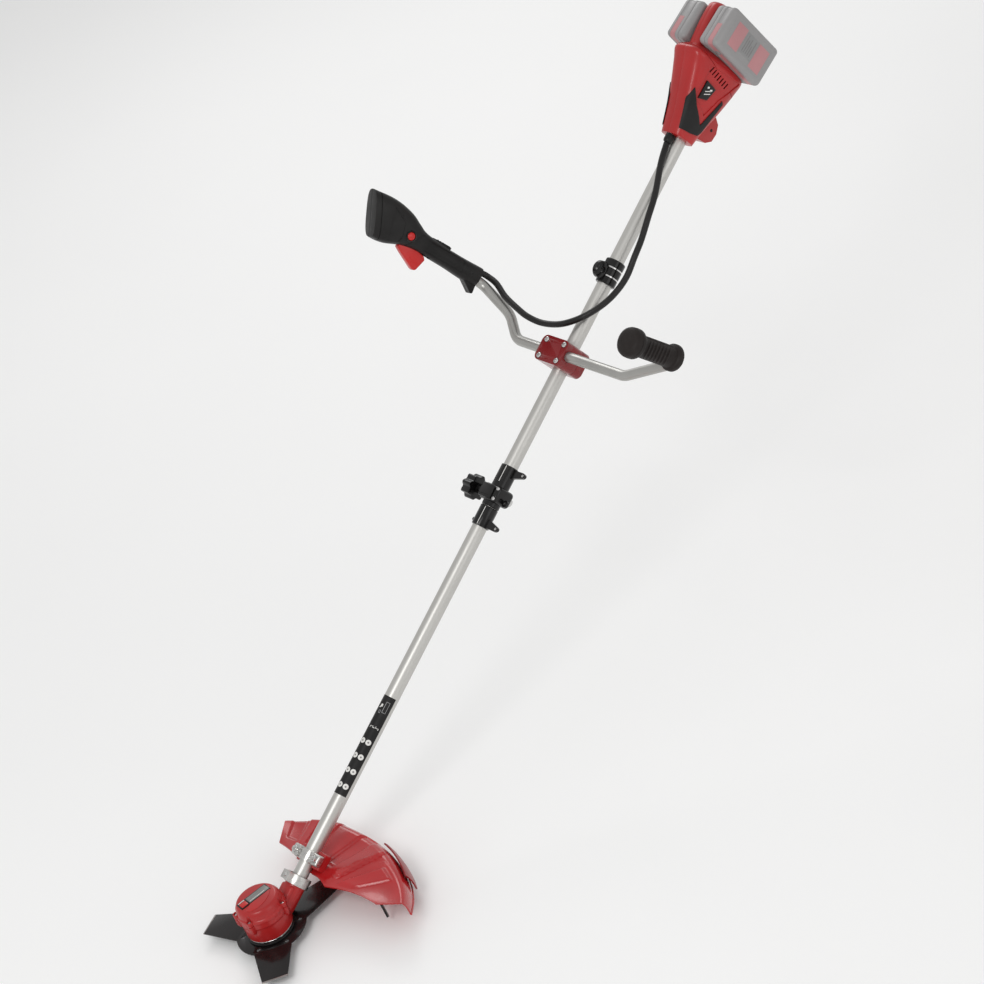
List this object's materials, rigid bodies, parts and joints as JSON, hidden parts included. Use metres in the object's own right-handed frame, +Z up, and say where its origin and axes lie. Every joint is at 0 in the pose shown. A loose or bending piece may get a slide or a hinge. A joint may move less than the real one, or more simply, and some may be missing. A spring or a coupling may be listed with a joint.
{
  "type": "string trimmer",
  "caption": "Long-shafted cordless trimmer with a cutting blade and guard below, cycle handlebar at the middle, lockable shaft coupling and battery packs on the rear housing.",
  "frame": {"origin": "centre of the lower end face of the blade nut, on the blade's spin axis", "axes": "+Z up along the blade spindle, +X from the cutting head towards the rear housing, +Y to the side that carries the control handle"},
  "size_m": [1.6001, 0.603, 0.9283],
  "materials": {
    "red_plastic": "glossy moulded plastic, strong red",
    "red_cover": "glossy moulded plastic, strong red, with a paler label strip",
    "dark_red_plastic": "satin moulded plastic, dark red",
    "satin_tube": "drawn tube with a satin silver finish",
    "bar_metal": "satin grey-silver lacquer on bent tube",
    "black_plastic": "moulded black plastic with a fine grain",
    "gloss_black": "smooth glossy black plastic",
    "grip_rubber": "soft dark brown-black rubber with raised ribs",
    "cable_rubber": "black rubber cable sheath",
    "red_control": "smooth red moulded button and trigger",
    "battery_grey": "pale grey moulded battery case with a pale red side stripe",
    "battery_latch": "grey moulded latch button",
    "connector_plastic": "off-white nylon connector block",
    "board": "green circuit board",
    "cast_metal": "cast and tumbled silver metal",
    "bright_steel": "plated and turned steel",
    "black_rubber": "black rubber seal",
    "core_iron": "laminated electrical steel",
    "copper_winding": "varnished copper wire",
    "blade_steel": "dark oil-blackened steel plate, glossy"
  },
  "bodies": {
    "upper_unit": {"upper_tube": "satin_tube", "coupling_body": "black_plastic", "upper_connector": "connector_plastic", "upper_power_lead": "cable_rubber", "clamp_base": "red_plastic", "clamp_middle": "red_plastic", "clamp_cap": "red_plastic", "clamp_screw_1": "bright_steel", "clamp_screw_2": "bright_steel", "clamp_screw_3": "bright_steel", "clamp_screw_4": "bright_steel", "handlebar": "bar_metal", "left_grip": "grip_rubber", "control_grip_inner": "black_plastic", "control_grip_outer": "black_plastic", "control_switch": "gloss_black", "control_cable": "cable_rubber", "cable_gland": "black_plastic", "hanger": "black_plastic", "rear_housing_left": "red_plastic", "rear_housing_right": "red_plastic", "controller_board": "board", "side_trim_left": "black_plastic", "side_trim_right": "black_plastic", "badge_left": "black_plastic", "badge_right": "black_plastic"},
    "lower_unit": {"lower_tube": "satin_tube", "lower_sleeve": "black_plastic", "lower_power_lead": "cable_rubber", "lower_connector": "connector_plastic", "motor_housing": "red_plastic", "motor_cover": "red_cover", "stator_core": "core_iron", "winding_ring": "copper_winding", "upper_bearing": "bright_steel", "lower_bearing": "bright_steel", "seal_ring": "black_rubber", "neck_strap": "cast_metal", "guard_clamp": "cast_metal", "guard_bolt_left": "bright_steel", "guard_bolt_right": "bright_steel", "guard_shield": "red_plastic", "guard_extension": "dark_red_plastic", "line_cutter": "blade_steel"},
    "blade_rotor": {"cutting_blade": "blade_steel", "drive_flange": "bright_steel", "clamp_flange": "bright_steel", "glide_cup": "black_plastic", "blade_nut": "bright_steel", "spindle": "bright_steel", "rotor": "core_iron"},
    "lock_knob": {"lock_knob": "black_plastic"},
    "lock_pin": {"lock_pin": "bright_steel"},
    "trigger": {"trigger": "red_control"},
    "lock_off_lever": {"lock_off_lever": "black_plastic"},
    "start_button": {"start_button": "red_control"},
    "battery_left": {"battery_left": "battery_grey"},
    "battery_right": {"battery_right": "battery_grey"},
    "latch_left": {"battery_latch_left": "battery_latch"},
    "latch_right": {"battery_latch_right": "battery_latch"}
  },
  "joints": [
    {"name": "lower_unit_slide", "type": "slide", "parent": "upper_unit", "child": "lower_unit", "axis": [-0.8673, 0, -0.4977], "range_m": [0, 0.09]},
    {"name": "blade_spin", "type": "hinge", "parent": "lower_unit", "child": "blade_rotor", "pos_m": [0, 0, 0.016], "axis": [0, 0, 1], "continuous": true},
    {"name": "knob_turn", "type": "hinge", "parent": "upper_unit", "child": "lock_knob", "pos_m": [0.69994, 0, 0.41527], "axis": [0, 1, 0], "range_deg": [0, 720]},
    {"name": "pin_slide", "type": "slide", "parent": "upper_unit", "child": "lock_pin", "axis": [0.4977, 0, -0.8673], "range_m": [0, 0.005], "stiffness_N_per_m": 600, "springref_m": -0.002},
    {"name": "trigger_pull", "type": "hinge", "parent": "upper_unit", "child": "trigger", "pos_m": [0.85922, 0.2577, 0.76656], "axis": [0.1397, 0.9598, -0.2435], "range_deg": [-12, 0], "stiffness_Nm_per_rad": 0.5, "springref_deg": 5.73},
    {"name": "lock_off_press", "type": "hinge", "parent": "upper_unit", "child": "lock_off_lever", "pos_m": [0.90081, 0.247, 0.74834], "axis": [0.1397, 0.9598, -0.2435], "range_deg": [0, 3.5], "stiffness_Nm_per_rad": 0.5, "springref_deg": -5.73},
    {"name": "button_press", "type": "slide", "parent": "upper_unit", "child": "start_button", "axis": [0.1397, 0.9598, -0.2435], "range_m": [0, 0.0015], "stiffness_N_per_m": 500, "springref_m": -0.002},
    {"name": "battery_left_slide", "type": "slide", "parent": "upper_unit", "child": "battery_left", "axis": [0.4202, 0, -0.9074], "range_m": [0, 0.14]},
    {"name": "battery_right_slide", "type": "slide", "parent": "upper_unit", "child": "battery_right", "axis": [0.4202, 0, -0.9074], "range_m": [0, 0.14]},
    {"name": "latch_left_press", "type": "slide", "parent": "battery_left", "child": "latch_left", "axis": [0, 1, 0], "range_m": [0, 0.002], "stiffness_N_per_m": 400, "springref_m": -0.002},
    {"name": "latch_right_press", "type": "slide", "parent": "battery_right", "child": "latch_right", "axis": [0, -1, 0], "range_m": [0, 0.002], "stiffness_N_per_m": 400, "springref_m": -0.002}
  ]
}
